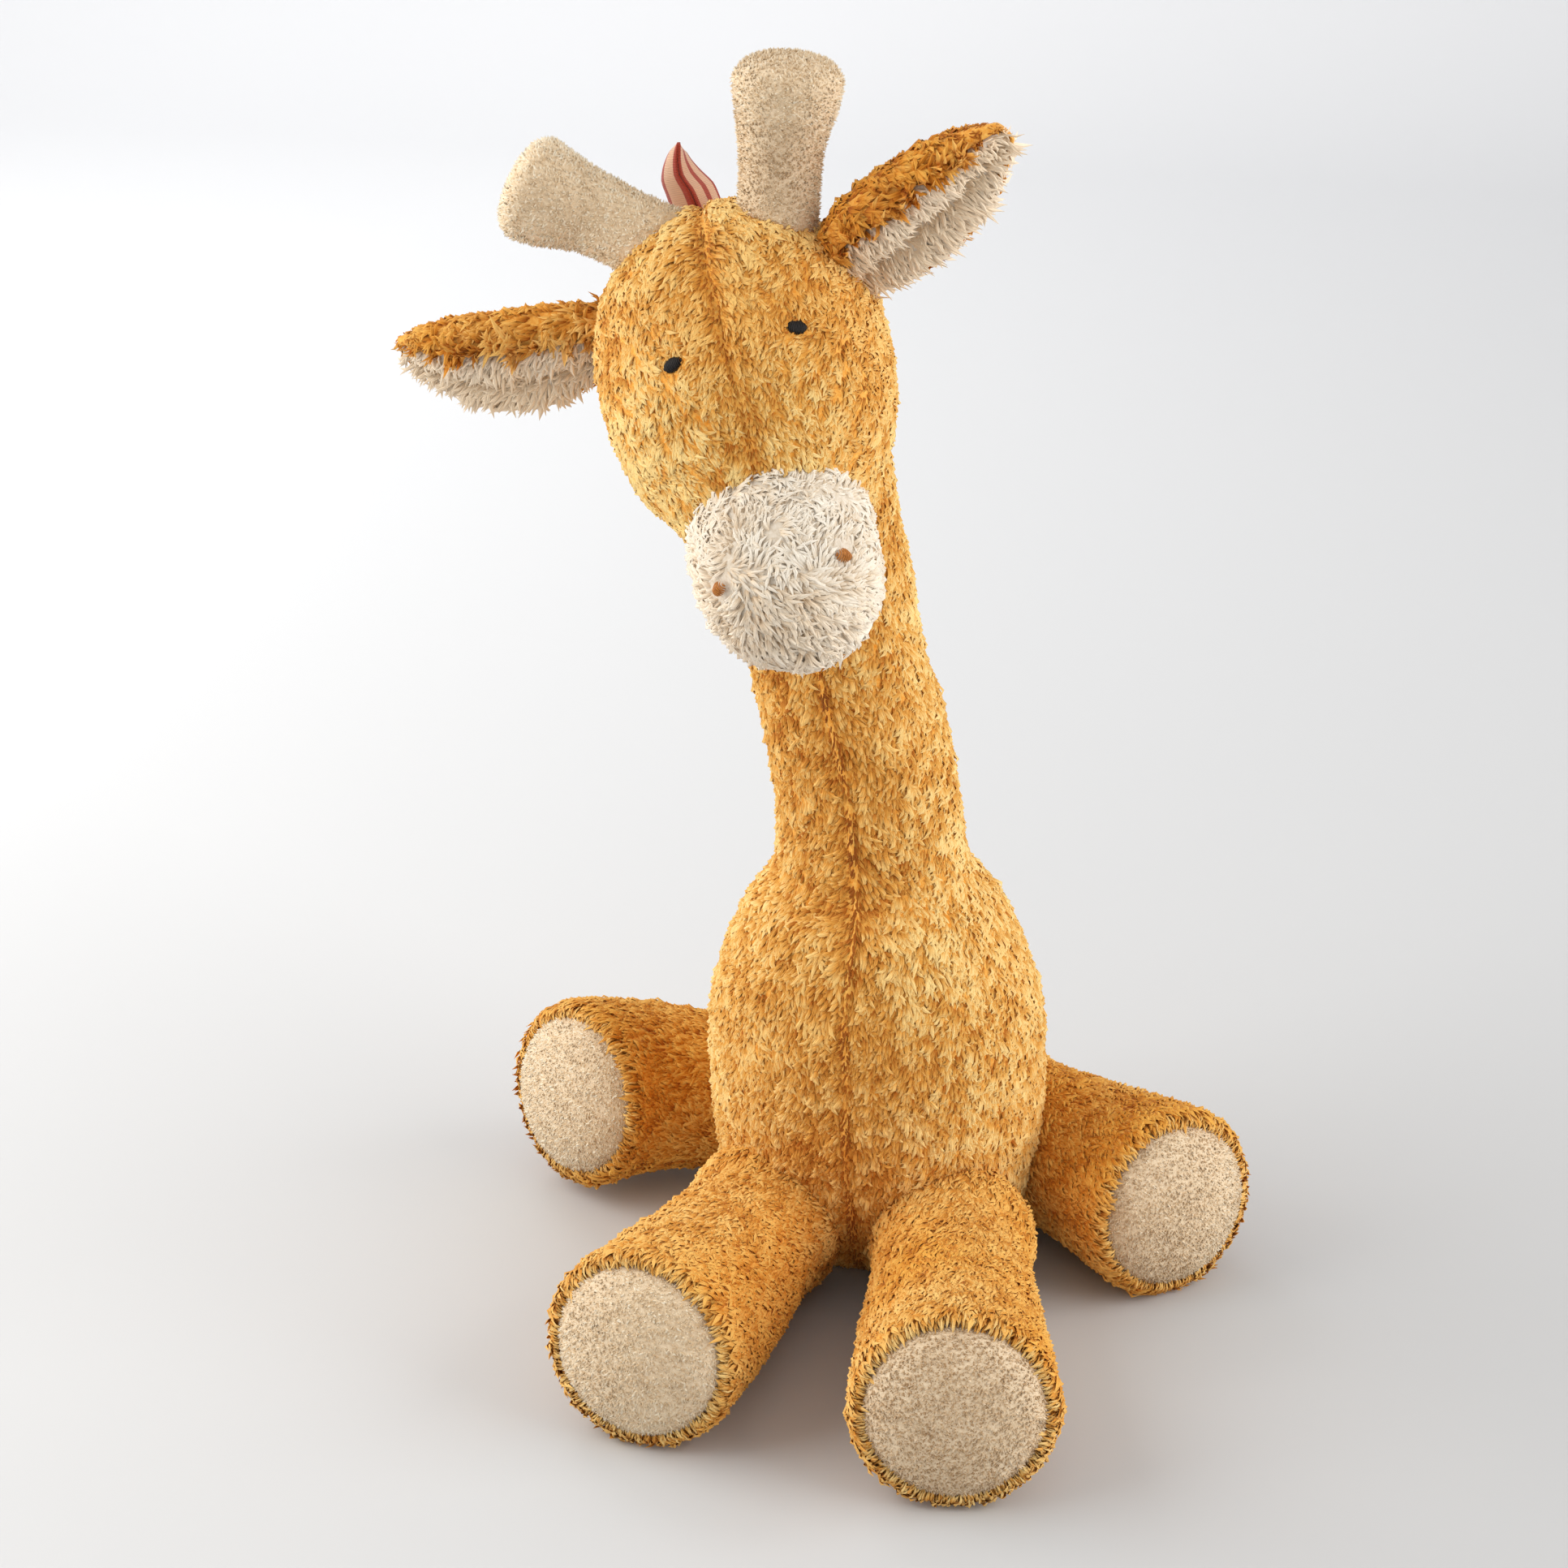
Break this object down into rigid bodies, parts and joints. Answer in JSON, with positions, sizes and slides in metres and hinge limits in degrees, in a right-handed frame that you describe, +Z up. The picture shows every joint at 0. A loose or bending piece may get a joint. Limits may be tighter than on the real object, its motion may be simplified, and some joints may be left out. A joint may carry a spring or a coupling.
{
  "type": "plush giraffe",
  "caption": "Sitting plush giraffe with a long neck, spread stuffed legs with velour foot pads, club horns, leaf ears lined in cream pile and a ribbon loop on the crown.",
  "frame": {"origin": "middle of the flat under the seat, where the toy sits on the ground", "axes": "+Z up, -Y to the front of the torso, -X to the side that the head leans to"},
  "size_m": [0.2644, 0.2213, 0.4085],
  "materials": {
    "plush": "honey teddy plush, pile about 6 mm",
    "cream_pile": "cream long pile",
    "velour": "beige velour, short nap",
    "filling": "loose fibre stuffing",
    "eye_thread": "black embroidery",
    "nostril_thread": "brown satin stitch",
    "ribbon": "ribbed woven ribbon"
  },
  "bodies": {
    "torso": {"torso_panel_left": "plush", "torso_panel_right": "plush", "seat_panel": "plush", "torso_stuffing": "filling"},
    "neck": {"neck_panel_left": "plush", "neck_panel_right": "plush", "neck_stuffing": "filling"},
    "head": {"head_panel_left": "plush", "head_panel_right": "plush", "head_stuffing": "filling", "muzzle_cover": "cream_pile", "eye_left": "eye_thread", "eye_right": "eye_thread", "nostril_left": "nostril_thread", "nostril_right": "nostril_thread", "horn_left": "velour", "horn_right": "velour", "horn_stuffing_left": "filling", "horn_stuffing_right": "filling", "ribbon_loop": "ribbon"},
    "ear_left": {"ear_back_left": "plush", "ear_lining_left": "cream_pile"},
    "ear_right": {"ear_back_right": "plush", "ear_lining_right": "cream_pile"},
    "front_left_leg": {"front_left_leg_cover": "plush", "front_left_foot_pad": "velour", "front_left_leg_stuffing": "filling"},
    "front_right_leg": {"front_right_leg_cover": "plush", "front_right_foot_pad": "velour", "front_right_leg_stuffing": "filling"},
    "rear_left_leg": {"rear_left_leg_cover": "plush", "rear_left_foot_pad": "velour", "rear_left_leg_stuffing": "filling"},
    "rear_right_leg": {"rear_right_leg_cover": "plush", "rear_right_foot_pad": "velour", "rear_right_leg_stuffing": "filling"}
  },
  "joints": [
    {"name": "neck_bend", "type": "hinge", "parent": "torso", "child": "neck", "pos_m": [-0.001, -0.007, 0.131], "axis": [1, 0, 0], "range_deg": [-12, 12], "stiffness_Nm_per_rad": 1.5},
    {"name": "head_nod", "type": "hinge", "parent": "neck", "child": "head", "pos_m": [-0.027, -0.014, 0.297], "axis": [1, 0, 0], "range_deg": [-18, 6], "stiffness_Nm_per_rad": 0.8},
    {"name": "ear_left_fold", "type": "hinge", "parent": "head", "child": "ear_left", "pos_m": [-0.0785, -0.032, 0.3215], "axis": [0.0031, -0.5998, 0.8002], "range_deg": [-20, 20], "stiffness_Nm_per_rad": 0.08},
    {"name": "ear_right_fold", "type": "hinge", "parent": "head", "child": "ear_right", "pos_m": [-0.0092, -0.032, 0.3452], "axis": [0.5868, 0.5995, -0.5442], "range_deg": [-20, 20], "stiffness_Nm_per_rad": 0.08},
    {"name": "front_left_leg_lift", "type": "hinge", "parent": "torso", "child": "front_left_leg", "pos_m": [-0.0305, -0.0425, 0.027], "axis": [-0.9777, 0.2099, 0], "range_deg": [-10, 28], "stiffness_Nm_per_rad": 0.5},
    {"name": "front_right_leg_lift", "type": "hinge", "parent": "torso", "child": "front_right_leg", "pos_m": [0.0325, -0.044, 0.027], "axis": [-0.987, -0.1609, 0], "range_deg": [-10, 28], "stiffness_Nm_per_rad": 0.5},
    {"name": "rear_left_leg_lift", "type": "hinge", "parent": "torso", "child": "rear_left_leg", "pos_m": [-0.037, 0.037, 0.029], "axis": [-0.3216, 0.9469, 0], "range_deg": [-10, 28], "stiffness_Nm_per_rad": 0.5},
    {"name": "rear_right_leg_lift", "type": "hinge", "parent": "torso", "child": "rear_right_leg", "pos_m": [0.037, 0.037, 0.03], "axis": [-0.6134, -0.7898, 0], "range_deg": [-10, 28], "stiffness_Nm_per_rad": 0.5}
  ]
}
